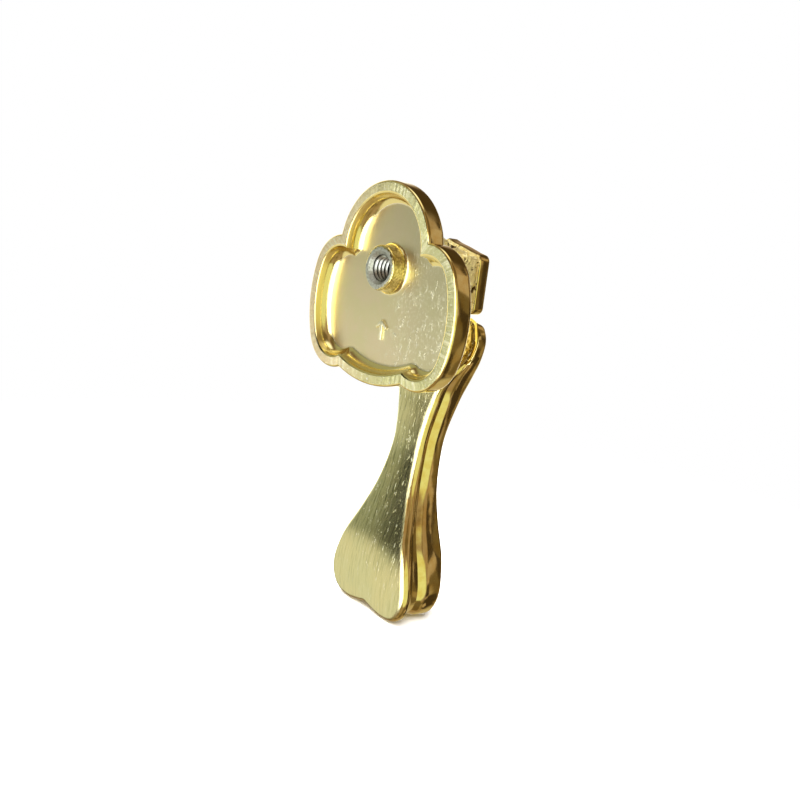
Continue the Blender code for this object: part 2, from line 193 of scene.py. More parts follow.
def circles_cross(c0, r0, c1, r1, up):
    """The higher crossing of two circles when up is 1, and the lower when it is -1."""
    between = Vector(c1) - Vector(c0)
    along = (r0**2 - r1**2 + between.length_squared) / (2 * between.length)
    side = math.sqrt(max(r0**2 - along**2, 0))
    unit = between.normalized()
    ends = [Vector(c0) + unit * along + Vector((-unit.y, unit.x)) * side * turn for turn in (1, -1)]
    return max(ends, key=lambda point: point.y * up)


def mirrored(right_half):
    """A closed outline from its right half, which runs down from the top middle to the bottom middle."""
    return right_half + [Vector((-p.x, p.y)) for p in reversed(right_half) if p.x > 1e-6]


def smooth(points, steps):
    """A smooth curve through points in two dimensions."""
    path = []
    last = len(points) - 1
    for i in range(last):
        before, start, end, after = (Vector(points[min(max(k, 0), last)]) for k in range(i - 1, i + 3))
        for j in range(steps):
            t = j / steps
            pull = (end - before) * (t**3 - 2 * t**2 + t) / 2 + (after - start) * (t**3 - t**2) / 2
            path.append(start * (2 * t**3 - 3 * t**2 + 1) + end * (3 * t**2 - 2 * t**3) + pull)
    return path + [Vector(points[-1])]


def level(heights, values, z):
    """The value at height z of a smooth curve through (height, value) pairs, whose heights fall."""
    z = min(max(z, heights[-1]), heights[0])
    i = next(k for k in range(len(heights) - 1) if z >= heights[k + 1])
    before, after = max(i - 1, 0), min(i + 2, len(heights) - 1)
    span = heights[i + 1] - heights[i]
    t = (z - heights[i]) / span
    start_slope = (values[i + 1] - values[before]) / (heights[i + 1] - heights[before]) * span
    end_slope = (values[after] - values[i]) / (heights[after] - heights[i]) * span
    return (
        values[i] * (2 * t**3 - 3 * t**2 + 1)
        + values[i + 1] * (3 * t**2 - 2 * t**3)
        + start_slope * (t**3 - 2 * t**2 + t)
        + end_slope * (t**3 - t**2)
    )


def rounded(radius, steps=7):
    """(inset, rise) pairs of a rounded edge, from the side wall to the face."""
    turns = [math.pi / 2 * i / steps for i in range(steps + 1)]
    return [(radius * (1 - math.cos(a)), radius * math.sin(a)) for a in turns]


def hollow(radius):
    """(inset, height) pairs of a fillet from a wall down to a floor, which it meets in a crisp line."""
    turns = [math.radians(FILLET_TURN) * i / 10 for i in range(11)]
    return [(radius * (1 - math.cos(a)), radius * (math.sin(turns[-1]) - math.sin(a))) for a in turns]


def plate_outline(inset, corner_inset=None):
    """The backplate's edge, moved inwards. Its corners stay where corner_inset puts them."""
    held = inset if corner_inset is None else corner_inset
    steps = 26
    top = (0, TOP_LOBE_Z)
    upper = (SIDE_LOBE_X, SIDE_LOBE_TOP_Z)
    lower = (SIDE_LOBE_X, SIDE_LOBE_BOTTOM_Z)
    reach = SIDE_R - SIDE_CORNER_R
    middle_z = (SIDE_LOBE_TOP_Z + SIDE_LOBE_BOTTOM_Z) / 2
    side = (SIDE_LOBE_X - math.sqrt(reach**2 - (SIDE_LOBE_TOP_Z - middle_z) ** 2), middle_z)
    bottom = (0, PLATE_BOTTOM_Z + BOTTOM_LOBE_R)
    shoulder = circles_cross(top, TOP_LOBE_R - held, upper, SIDE_CORNER_R - held, 1)
    hip = circles_cross(lower, SIDE_CORNER_R - held, bottom, BOTTOM_LOBE_R - held, -1)
    points = arc(top, TOP_LOBE_R - inset, math.pi / 2, angle_from(top, shoulder), steps)
    points += arc(upper, SIDE_CORNER_R - inset, angle_from(upper, shoulder), angle_from(side, upper), steps)
    points += arc(side, SIDE_R - inset, angle_from(side, upper), angle_from(side, lower), steps // 2)[1:]
    points += arc(lower, SIDE_CORNER_R - inset, angle_from(side, lower), angle_from(lower, hip), steps)[1:]
    points += arc(bottom, BOTTOM_LOBE_R - inset, angle_from(bottom, hip), -math.pi / 2, steps // 2)
    points[0].x = points[-1].x = 0
    return mirrored(points)


def cap_outline():
    """The cap's edge: a flat bottom with round corners, upright sides and shoulders that rise to a point."""
    low = (CAP_HALF - CAP_CORNER_R, CAP_BOTTOM_Z + CAP_CORNER_R)
    high = (CAP_HALF - CAP_CORNER_R, CAP_SHOULDER_Z - CAP_CORNER_R)
    rise = CAP_PEAK_Z - CAP_SHOULDER_Z
    sweep = [(0, 1), (0.2, 0.76), (0.5, 0.5), (0.85, 0.14)]  # share of the way to the side, and of the rise
    points = smooth([(high[0] * across, CAP_SHOULDER_Z + rise * up) for across, up in sweep], 8)
    points += arc(high, CAP_CORNER_R, math.radians(75), 0, 10)
    points += arc(low, CAP_CORNER_R, 0, -math.pi / 2, 10)
    points += [Vector((low[0] * share, CAP_BOTTOM_Z)) for share in (0.75, 0.5, 0.25)]
    return mirrored(points + [Vector((0, CAP_BOTTOM_Z))])


def pendant_outline():
    """The pendant's edge: the head's flat top and sides, the waist, the broad end and its notch."""
    top = CAP_BOTTOM_Z - HEAD_GAP
    side = smooth([(PENDANT_EDGE[0][0] - HEAD_CORNER, top), *PENDANT_EDGE, (0, NOTCH_Z)], 9)
    flat = [Vector((side[0].x * share / 8, top)) for share in range(8)]
    return mirrored(flat + side)


def inwards(outline, distance):
    """The outline moved inwards along its own normals. It turns clockwise, so inwards is to its right."""
    moved = []
    for i, point in enumerate(outline):
        along = (outline[(i + 1) % len(outline)] - outline[i - 1]).normalized()
        moved.append(point + Vector((along.y, -along.x)) * distance)
    return moved


def towards(outline, spine, share):
    """The outline drawn towards an upright spine from spine[0] down to spine[1]; share 1 reaches it."""
    ends = [Vector((0, min(max(p.y, spine[1]), spine[0]))) for p in outline]
    return [p.lerp(end, share) for p, end in zip(outline, ends)]


# Modelling


def alone():
    bpy.ops.object.select_all(action="DESELECT")


def seat_ring(piece, points):
    """Moves the selected ring of points onto its next place."""
    bm = bmesh.from_edit_mesh(piece.data)
    order = bm.verts.layers.int["order"]
    for vert in bm.verts:
        if vert.select:
            vert.co = Vector(points[vert[order]]) * MM
    bmesh.update_edit_mesh(piece.data)


def grow(name, rings, first_spine=False, last_spine=False):
    """A closed body, extruded from one ring through the others. It ends in faces, or welded on a spine."""
    alone()
    bpy.ops.mesh.primitive_circle_add(vertices=len(rings[0]), radius=BOSS_R * MM)
    piece = bpy.context.object
    piece.name = piece.data.name = name
    bpy.ops.object.mode_set(mode="EDIT")
    bpy.ops.mesh.select_all(action="SELECT")
    bm = bmesh.from_edit_mesh(piece.data)
    order = bm.verts.layers.int.new("order")
    for vert in bm.verts:
        vert[order] = vert.index
    seat_ring(piece, rings[0])
    if not first_spine:
        bpy.ops.mesh.edge_face_add()
        bpy.ops.mesh.select_all(action="SELECT")
    for points in rings[1:]:
        bpy.ops.mesh.extrude_edges_indiv()
        seat_ring(piece, points)
    if not last_spine:
        bpy.ops.mesh.edge_face_add()
    bpy.ops.mesh.select_all(action="SELECT")
    bpy.ops.mesh.remove_doubles(threshold=0.004 * MM)
    bpy.ops.mesh.normals_make_consistent(inside=False)
    bpy.ops.object.mode_set(mode="OBJECT")
    return piece


def rod(name, radius, left, right, edge=0.08):
    """A round bar along the hinge's axis, with rounded ends."""
    angles = [2 * math.pi * i / 64 for i in range(64)]
    stations = [(radius - inset, left + edge - rise) for inset, rise in reversed(rounded(edge, 3))]
    stations += [(radius - inset, right - edge + rise) for inset, rise in rounded(edge, 3)]
    y, z = PIVOT_Y, PIVOT_Z
    return grow(name, [[(x, y + r * math.cos(a), z + r * math.sin(a)) for a in angles] for r, x in stations])


def block(name, low, high, edge=0.0):
    """A box between two corners, with its place in its mesh and its edges bevelled."""
    alone()
    low, high = Vector(low), Vector(high)
    bpy.ops.mesh.primitive_cube_add(size=1, location=(low + high) / 2 * MM, scale=(high - low) * MM)
    piece = bpy.context.object
    piece.name = piece.data.name = name
    bpy.ops.object.transform_apply(location=True, rotation=True, scale=True)
    if edge:
        bpy.ops.object.mode_set(mode="EDIT")
        bpy.ops.mesh.select_all(action="SELECT")
        bpy.ops.mesh.bevel(offset=edge * MM, segments=3, affect="EDGES")
        bpy.ops.object.mode_set(mode="OBJECT")
    return piece


def work_on(piece):
    alone()
    piece.select_set(True)
    bpy.context.view_layer.objects.active = piece


def modify(piece, kind, **settings):
    """Adds a modifier, sets it and applies it."""
    work_on(piece)
    bpy.ops.object.modifier_add(type=kind)
    modifier = piece.modifiers[-1]
    for name, value in settings.items():
        setattr(modifier, name, value)
    bpy.ops.object.modifier_apply(modifier=modifier.name)


def combine(piece, tool, operation):
    """Cuts or joins a piece with another, which is used up."""
    modify(piece, "BOOLEAN", object=tool, operation=operation, solver="EXACT")
    bpy.data.objects.remove(tool)


def shade(piece, angle=SHARP):
    work_on(piece)
    bpy.ops.object.shade_smooth_by_angle(angle=angle)


def roughened(piece, name):
    """Gives a cast surface its lumps: a dense even skin, pushed in and out by a named cloud pattern."""
    work_on(piece)
    piece.data.remesh_voxel_size = SKIN_VOXEL * MM
    piece.data.use_remesh_fix_poles = False
    bpy.ops.object.voxel_remesh()
    clouds = bpy.data.textures.new(name, "CLOUDS")
    clouds.noise_scale = POST_LUMP * MM
    clouds.noise_depth = 2
    push = POST_LUMP_DEPTH * MM
    modify(piece, "DISPLACE", texture=clouds, texture_coords="LOCAL", strength=push, mid_level=0.5)
    modify(piece, "SMOOTH", factor=0.5, iterations=4)


# Finishes


class Value:
    """A shader socket that takes part in sums, so that a pattern reads as a formula."""

    def __init__(self, sheet, socket):
        self.sheet = sheet
        self.socket = socket

    def math(self, operation, *others):
        return self.sheet.add("Math", {"operation": operation}, dict(enumerate((self, *others))))

    def __add__(self, other):
        return self.math("ADD", other)

    __radd__ = __add__

    def __mul__(self, other):
        return self.math("MULTIPLY", other)

    __rmul__ = __mul__

    def __sub__(self, other):
        return self.math("SUBTRACT", other)

    def __rsub__(self, other):
        return self * -1 + other

    def __pow__(self, other):
        return self.math("POWER", other)

    def between(self, low, high):
        """0 below low, 1 above high, and a soft step from one to the other; low may be the higher."""
        sockets = {"Value": self, "From Min": low, "From Max": high}
        return self.sheet.add("MapRange", {"interpolation_type": "SMOOTHSTEP"}, sockets)


class Sheet:
    """The nodes of one material or world."""

    def __init__(self, tree):
        self.tree = tree

    def add(self, kind, settings=None, sockets=None, out=0):
        """Adds a node, sets it, fills or links its sockets, and returns one of its outputs."""
        node = self.tree.nodes.new("ShaderNode" + kind)
        for name, value in (settings or {}).items():
            setattr(node, name, value)
        for key, value in (sockets or {}).items():
            if isinstance(value, Value):
                self.tree.links.new(value.socket, node.inputs[key])
            else:
                node.inputs[key].default_value = value
        return Value(self, node.outputs[out])

    def place(self):
        """Where a point is on the pull, in millimetres."""
        at = self.add("TexCoord", out="Object")
        return self.add("VectorMath", {"operation": "SCALE"}, {0: at, "Scale": 1 / MM})

    def axes(self, vector):
        return [self.add("SeparateXYZ", {}, {0: vector}, out=i) for i in range(3)]

    def stretched(self, vector, x, y, z):
        """A position with each axis scaled, so that a pattern on it is drawn out where the scale is low."""
        return self.add("VectorMath", {"operation": "MULTIPLY"}, {0: vector, 1: (x, y, z)})

    def noise(self, vector, scale, detail=3.0, roughness=0.5, distortion=0.0):
        sockets = {"Vector": vector, "Scale": scale, "Detail": detail, "Roughness": roughness}
        return self.add("TexNoise", {}, {**sockets, "Distortion": distortion})

    def cracks(self, vector, scale):
        """How far a point is from the nearest border between cells."""
        return self.add("TexVoronoi", {"feature": "DISTANCE_TO_EDGE"}, {"Vector": vector, "Scale": scale})

    def mix(self, share, first, second):
        """A colour between two."""
        return self.add("Mix", {"data_type": "RGBA"}, {0: share, 6: first, 7: second}, out=2)

    def bump(self, height, distance, strength=1.0, under=None):
        sockets = {"Height": height, "Distance": distance * MM, "Strength": strength}
        return self.add("Bump", {}, {**sockets, **({"Normal": under} if under else {})})


def rgb(red, green, blue):
    """A colour, from the light it returns in each channel."""
    return (red, green, blue, 1.0)


GOLD = rgb(0.90, 0.77, 0.35)
DEEP_GOLD = rgb(0.82, 0.61, 0.20)
KHAKI = rgb(0.75, 0.72, 0.40)
BARE_ZINC = rgb(0.60, 0.63, 0.58)
# Painted shade: a near-black brown put in the crevices of the rough casting, where shade falls
CREVICE_SHADE = rgb(0.10, 0.06, 0.02)


def surface(name, metallic=1.0):
    """A new metal and its sheet of nodes."""
    metal = bpy.data.materials.new(name)
    metal.use_nodes = True
    metal.node_tree.nodes["Principled BSDF"].inputs["Metallic"].default_value = metallic
    return metal, Sheet(metal.node_tree)


def finish_with(metal, sheet, colour, roughness, normal):
    shader = metal.node_tree.nodes["Principled BSDF"]
    for socket, value in (("Base Color", colour), ("Roughness", roughness), ("Normal", normal)):
        sheet.tree.links.new(value.socket, shader.inputs[socket])
    return metal


def polished_gold():
    """Bright plating over a polished casting: slow waves and faint wipe marks."""
    metal, sheet = surface("polished_gold")
    at = sheet.place()
    waves = sheet.noise(at, 0.16, 2)
    haze = sheet.noise(at, 0.6, 4, 0.6)
    wipes = sheet.noise(sheet.stretched(at, 5, 5, 0.7), 1.5, 3)
    colour = sheet.mix(haze.between(0.3, 0.75), GOLD, DEEP_GOLD)
    roughness = 0.07 + haze * 0.07 + wipes.between(0.55, 0.8) * 0.05
    soft = sheet.bump(waves, 0.8, 0.22)
    return finish_with(metal, sheet, colour, roughness, sheet.bump(wipes, 0.004, 0.5, soft))


def recess_gold():
    """The dished back: a dull, scuffed floor, bright fillets and walls, bare metal round the tapped hole."""
    metal, sheet = surface("recess_gold")
    at = sheet.place()
    x, y, z = sheet.axes(at)
    haze = sheet.noise(at, 0.25, 4, 0.55)
    grit = sheet.noise(at, 3.2, 3, 0.6)
    floor = y.between(RECESS_DEPTH - 0.07, RECESS_DEPTH - 0.01)
    from_axis = (x * x + z * z) ** 0.5
    ragged = sheet.noise(at, 1.1, 3, 0.6) * 0.9
    low_left = (x * -0.7 + z * -0.7).between(1.0, 3.2) * 0.4
    bare = (from_axis - ragged - low_left).between(2.62, 2.42)
    scuffed = (x + z * -0.25 + haze * 6).between(5, 9) * 0.8 + 0.2
    nicks = sheet.cracks(sheet.stretched(at, 1.5, 1, 0.8), 1.3).between(0.035, 0.0)
    nicks = nicks * grit.between(0.5, 0.62) * scuffed * floor
    rubbed = sheet.noise(sheet.stretched(at, 1.2, 1, 0.7), 1.0, 5, 0.75).between(0.54, 0.70)
    rubbed = rubbed * scuffed * floor
    dull = sheet.mix(haze.between(0.35, 0.7), rgb(0.92, 0.81, 0.58), rgb(0.88, 0.81, 0.53))
    dull = sheet.mix(x.between(-2, 11) * 0.7, dull, rgb(0.72, 0.69, 0.45))
    dull = sheet.mix(rubbed * 0.85, dull, rgb(0.98, 0.97, 0.80))
    gold = sheet.mix(floor, GOLD, dull)
    gold = sheet.mix(nicks, gold, rgb(0.97, 0.97, 0.88))
    collar = from_axis.between(BOSS_R + 0.6, BOSS_R + 0.1) * grit.between(0.40, 0.56)
    gold = sheet.mix(collar * 0.8, gold, rgb(0.45, 0.36, 0.12))
    zinc = sheet.mix(grit.between(0.4, 0.7), BARE_ZINC, rgb(0.36, 0.37, 0.33))
    colour = sheet.mix(bare, gold, zinc)
    roughness = 0.10 + floor * 0.19 + haze * 0.08 - rubbed * 0.1 + bare * 0.26
    height = grit * 0.25 + haze * 0.5 + nicks * 0.4 + bare * grit * 1.6 + rubbed * grit * 0.9
    return finish_with(metal, sheet, colour, roughness, sheet.bump(height, 0.05, 0.7))


def rim_gold():
    """The sanded rim: fine cuts straight across it, worn pale, with a rosy cast where the plating is thin."""
    metal, sheet = surface("rim_gold")
    at = sheet.place()
    along = sheet.add("Attribute", {"attribute_name": "edge_turn"}, out="Vector")
    ticks = sheet.noise(along, 2.4, 3, 0.7)
    broad = sheet.noise(at, 0.22, 3)
    specks = sheet.noise(at, 2.2, 4, 0.75)
    cut = ticks.between(0.47, 0.62) * broad.between(0.42, 0.62)
    x, y, z = sheet.axes(at)
    worn = (broad + (x * 0.05 + z * 0.012)).between(0.55, 1.1)
    colour = sheet.mix(x.between(-14, 6), rgb(0.92, 0.76, 0.48), rgb(0.62, 0.61, 0.30))
    colour = sheet.mix(worn * 0.5, colour, rgb(0.74, 0.73, 0.40))
    colour = sheet.mix(cut * 0.85, colour, rgb(1.0, 0.97, 0.70))
    colour = sheet.mix(ticks.between(0.45, 0.36) * 0.3, colour, rgb(0.62, 0.48, 0.24))
    colour = sheet.mix(specks.between(0.43, 0.38) * 0.9, colour, rgb(1.0, 0.99, 0.86))
    colour = sheet.mix(specks.between(0.60, 0.68) * 0.55, colour, rgb(0.50, 0.36, 0.15))
    roughness = 0.24 + ticks * 0.16
    return finish_with(metal, sheet, colour, roughness, sheet.bump(ticks + specks * 0.6, 0.16, 1.0))


def brushed_gold():
    """The pendant's back, belt-sanded up and down before plating, with the rough casting left at its head."""
    metal, sheet = surface("brushed_gold")
    at = sheet.place()
    x, y, z = sheet.axes(at)
    lines = sheet.noise(sheet.stretched(at, 3.4, 0.4, 0.16), 1.3, 4, 0.7)
    depth = z.between(-52, -36) * 0.7 + 0.3
    haze = sheet.noise(at, 0.14, 3)
    pits = sheet.noise(sheet.stretched(at, 2.6, 1, 0.4), 1.5, 3, 0.6)
    cast = (z + haze * 3).between(-13.6, -12.2)
    lumps = sheet.noise(at, 0.7, 2, 0.5, 0.5)
    colour = sheet.mix(haze.between(0.35, 0.65), KHAKI, rgb(0.80, 0.74, 0.40))
    colour = sheet.mix(lines.between(0.54, 0.66) * depth * 0.5, colour, rgb(0.98, 0.97, 0.78))
    colour = sheet.mix(lines.between(0.47, 0.36) * depth, colour, rgb(0.40, 0.40, 0.20))
    colour = sheet.mix(pits.between(0.66, 0.70) * 0.7, colour, rgb(0.98, 0.97, 0.82))
    # The rough casting at the head: bright lumps, with painted shade in their crevices
    colour = sheet.mix(cast, colour, sheet.mix(lumps.between(0.36, 0.29), rgb(1.0, 0.92, 0.62), CREVICE_SHADE))
    roughness = 0.13 + lines * 0.14 + haze * 0.05
    fine = sheet.bump(lines * depth, 0.014)
    fine = sheet.bump(pits.between(0.60, 0.74) * depth, 0.016, 1.0, fine)
    return finish_with(metal, sheet, colour, roughness, sheet.bump(lumps * cast, 0.3, 0.6, fine))


def cast_gold():
    """Plating straight over the raw casting, partly matt: bright lumps, with painted shade in the crevices
    between them.
    """
    metal, sheet = surface("cast_gold", 0.84)
    at = sheet.place()
    lumps = sheet.noise(at, 0.85, 3, 0.55, 0.8)
    grain = sheet.noise(at, 2.5, 2, 0.5)
    # Painted shade in the crevices between the lumps
    colour = sheet.mix(lumps.between(0.40, 0.33), rgb(1.0, 0.86, 0.42), CREVICE_SHADE)
    colour = sheet.mix(grain.between(0.6, 0.75) * 0.4, colour, rgb(0.97, 0.88, 0.56))
    roughness = 0.22 + grain * 0.2
    coarse = sheet.bump(lumps, 0.9, 0.9)
    return finish_with(metal, sheet, colour, roughness, sheet.bump(grain, 0.03, 0.4, coarse))


def mark_gold():
    """The tops of raised marks, rubbed pale by handling."""
    metal, sheet = surface("mark_gold")
    rub = sheet.noise(sheet.place(), 2.2, 3, 0.6)
    colour = sheet.mix(rub.between(0.35, 0.65), rgb(1.0, 0.99, 0.82), rgb(0.98, 0.92, 0.60))
    return finish_with(metal, sheet, colour, 0.22 + rub * 0.2, sheet.bump(rub, 0.04, 0.6))


def bare_thread():
    """Freshly cut zinc, with painted shade between the turns and deeper down the bore."""
    metal, sheet = surface("bare_thread")
    at = sheet.place()
    x, y, z = sheet.axes(at)
    scratch = sheet.noise(sheet.stretched(at, 1, 6, 1), 1.4, 3, 0.6)
    # The masks of painted shade: deeper down the bore, and out at the wall between the thread's turns
    deep_shade = y.between(1.2, 4.8)
    root = ((x * x + z * z) ** 0.5).between(THREAD_INNER_R + 0.12, THREAD_OUTER_R - 0.02)
    colour = sheet.mix(scratch.between(0.4, 0.65), BARE_ZINC, rgb(0.40, 0.42, 0.40))
    # Painted shade: near black between the turns and, faintly, deeper down the bore
    colour = sheet.mix(root * 0.85 + deep_shade * 0.15, colour, rgb(0.04, 0.04, 0.035))
    return finish_with(metal, sheet, colour, 0.18 + scratch * 0.2, sheet.bump(scratch, 0.02, 0.6))


def pin_steel():
    """A plain drawn steel pin."""
    metal, sheet = surface("pin_steel")
    drawn = sheet.noise(sheet.stretched(sheet.place(), 0.3, 5, 5), 2.0, 3)
    colour = sheet.mix(drawn.between(0.35, 0.7), rgb(0.62, 0.60, 0.57), rgb(0.45, 0.43, 0.40))
    return finish_with(metal, sheet, colour, 0.2 + drawn * 0.15, sheet.bump(drawn, 0.01, 0.5))


POLISHED = polished_gold()
RECESS = recess_gold()
RIM = rim_gold()
BRUSHED = brushed_gold()
CAST = cast_gold()
MARK = mark_gold()
THREAD = bare_thread()
STEEL = pin_steel()


def wear(piece, finish):
    """Gives the whole piece one finish."""
    piece.data.materials.clear()
    piece.data.materials.append(finish)


# Pieces


def plate_rings():
    """The skin of the plate and its boss: from the front's edge over rim, recess and boss into the hole."""
    outer = [(inset, PLATE_THICK - FRONT_EDGE_R + rise) for inset, rise in reversed(rounded(FRONT_EDGE_R))]
    outer += [(inset, BACK_EDGE_R - rise) for inset, rise in rounded(BACK_EDGE_R)]
    burr = RIM_WIDTH - RIM_BURR
    inner = [(burr - RING_GAP, 0), (burr, 0), (RIM_WIDTH, RIM_BURR_DROP)]
    inner += [(RIM_WIDTH + inset, RECESS_DEPTH - height) for inset, height in hollow(RECESS_FILLET)]
    rings = []
    for inset, y in outer + inner:
        rings.append([(p.x, y, p.y) for p in plate_outline(inset, min(inset, RIM_WIDTH))])

    # From the floor on, the rings share headings that always turn the same way, so their faces don't fold.
    headings = [math.pi / 2]
    for x, y, z in rings[-1][1:]:
        turn = (math.atan2(z, x) - headings[-1] + math.pi) % (2 * math.pi) - math.pi
        headings.append(headings[-1] + min(turn, -LEAST_TURN))
    floor_reach = [math.hypot(x, z) * FLOOR_SHARE for x, y, z in rings[-1]]
    rings.append([(r * math.cos(a), RECESS_DEPTH, r * math.sin(a)) for r, a in zip(floor_reach, headings)])
    foot = hollow(BOSS_FILLET)
    boss = [(BOSS_R + foot[-1][0] + RING_GAP, RECESS_DEPTH)]
    boss += [(BOSS_R + inset, RECESS_DEPTH - height) for inset, height in reversed(foot)]
    boss += [(BOSS_R - inset, BOSS_EDGE_R - rise) for inset, rise in rounded(BOSS_EDGE_R, 5)]
    boss += [(TAP_CHAMFER_R, 0), (THREAD_OUTER_R, TAP_CHAMFER)]
    boss += [(THREAD_OUTER_R, TAP_DEPTH - DRILL_TIP), (DRILL_TIP_R, TAP_DEPTH)]
    return rings + [[(r * math.cos(a), y, r * math.sin(a)) for a in headings] for r, y in boss]


def write_edge_turn(plate):
    """Stores how far round the edge each point is, on a circle as long as the edge, for the rim's cuts."""
    edge = [Vector(p) for p in plate_outline(0)]
    steps = [(edge[(i + 1) % len(edge)] - p).length for i, p in enumerate(edge)]
    radius = sum(steps) / (2 * math.pi)
    turns = [sum(steps[:i]) / radius for i in range(len(steps))]
    order = plate.data.attributes["order"]
    edge_turn = plate.data.attributes.new("edge_turn", "FLOAT_VECTOR", "POINT")
    for i, item in enumerate(order.data):
        turn = turns[item.value]
        edge_turn.data[i].vector = (radius * math.cos(turn), radius * math.sin(turn), 0)


def plate_finish(middle, normal):
    """The finish of a face of the plate, from the face's middle in millimetres and its normal."""
    near = 0.01
    away = middle.xz.length
    # The front's flat middle, mostly behind the post, passes this test too and is as dark as the bore.
    if away < THREAD_OUTER_R + near and TAP_CHAMFER < middle.y < TAP_DEPTH:
        return THREAD
    if middle.y < near and away > RIM_CLEAR_R:
        return RIM
    towards_middle = normal.x * middle.x + normal.z * (middle.z - RECESS_MIDDLE_Z) < 0
    in_recess = normal.y < -0.95 or towards_middle or away < BOSS_R + BOSS_FILLET
    return RECESS if in_recess and middle.y < RECESS_DEPTH + near else POLISHED


def backplate():
    """The dished plate and its boss in one skin, from the front's middle over the edge and into the hole."""
    rings = plate_rings()
    front = [[(x * share, PLATE_THICK, z * share) for x, y, z in rings[0]] for share in (0.4, 0.75)]
    plate = grow("backplate_shell", front + rings)
    write_edge_turn(plate)
    finishes = [POLISHED, RIM, RECESS, THREAD]
    for finish in finishes:
        plate.data.materials.append(finish)
    for face in plate.data.polygons:
        points = [plate.data.vertices[i].co / MM for i in face.vertices]
        middle = sum(points, Vector()) / len(points)
        face.material_index = finishes.index(plate_finish(middle, face.normal))
    shade(plate)
    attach(plate, "mounted_base")
    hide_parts("backplate")


def boss_thread():
    """One continuous ridge wound down the bore."""
    alone()
    bpy.ops.mesh.primitive_circle_add(vertices=3, radius=THREAD_PITCH * MM / 2)
    thread = bpy.context.object
    thread.name = thread.data.name = "boss_thread"
    half = THREAD_WIDTH / 2
    start = TAP_CHAMFER + half * 0.4
    root = THREAD_OUTER_R + THREAD_SINK
    profile = [(root, start - half), (root, start + half), (THREAD_INNER_R, start)]
    for vert, (r, y) in zip(thread.data.vertices, profile):
        vert.co = (r * MM, y * MM, 0)
    turns = int((TAP_DEPTH - TAP_RUNOUT - start) / THREAD_PITCH)
    modify(
        thread, "SCREW", axis="Y", screw_offset=THREAD_PITCH * MM, iterations=turns,
        steps=72, render_steps=72, use_merge_vertices=False,
    )  # fmt: skip
    bpy.ops.object.mode_set(mode="EDIT")
    bpy.ops.mesh.select_mode(type="EDGE")
    bpy.ops.mesh.select_all(action="DESELECT")
    bpy.ops.mesh.select_non_manifold()
    bpy.ops.mesh.edge_face_add()
    bpy.ops.mesh.select_all(action="SELECT")
    bpy.ops.mesh.normals_make_consistent(inside=False)
    bpy.ops.mesh.select_mode(type="VERT")
    bpy.ops.object.mode_set(mode="OBJECT")
    shade(thread, math.radians(50))
    wear(thread, THREAD)
    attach(thread, "mounted_base")


def arrow_mark():
    """A raised arrow on the recess floor, with softened edges."""
    half, stroke, tip = ARROW_WIDTH / 2, ARROW_STROKE / 2, ARROW_HEIGHT / 2
    arrow = [(0, tip), (half, tip - ARROW_BARB), (half - stroke, tip - ARROW_BARB - stroke)]
    arrow += [(stroke, tip - 3 * stroke), (stroke, -tip), (0, -tip)]
    shape = [p + Vector((ARROW_X, ARROW_Z)) for p in mirrored([Vector(point) for point in arrow])]
    depths = (RECESS_DEPTH + ARROW_ROOT, RECESS_DEPTH - ARROW_RISE)
    mark = grow("arrow_mark", [[(p.x, y, p.y) for p in shape] for y in depths])
    modify(mark, "BEVEL", width=ARROW_EDGE * MM, segments=3, limit_method="ANGLE")
    shade(mark)
    wear(mark, MARK)
    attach(mark, "mounted_base")


def knuckle_slot(name):
    """The space that the pendant's knuckle turns in, open at the front and below."""
    reach = KNUCKLE_R + FIT_GAP
    half = KNUCKLE_HALF + FIT_GAP
    low = (-half, PIVOT_Y - reach, POST_BOTTOM_Z - SLOT_PAST)
    return block(name, low, (half, PIVOT_Y + 2 * SLOT_PAST, PIVOT_Z + reach))


def hinge_post():
    """The clevis between plate and cap, and the crossbar behind the cap, left rough from the mould."""
    back, front = PLATE_THICK + FIT_GAP, CAP_BACK_Y - FIT_GAP
    top = [(back, POST_BACK_TOP_Z), *POST_NECK, (front, POST_TOP_Z)]
    side = [(back, POST_BOTTOM_Z), *top, (front, POST_BOTTOM_Z)]
    post = grow("hinge_post_casting", [[(x, y, z) for y, z in side] for x in (-POST_HALF, POST_HALF)])
    modify(post, "BEVEL", width=POST_EDGE * MM, segments=3)
    low = (-CROSSBAR_HALF, CROSSBAR_BACK_Y, CROSSBAR_BOTTOM_Z)
    combine(post, block("bar", low, (CROSSBAR_HALF, front, CROSSBAR_TOP_Z), CROSSBAR_EDGE), "UNION")
    combine(post, knuckle_slot("post_slot"), "DIFFERENCE")
    roughened(post, "post_lumps")
    shade(post, math.pi)
    wear(post, CAST)
    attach(post, "mounted_base")
    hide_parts("hinge_post")


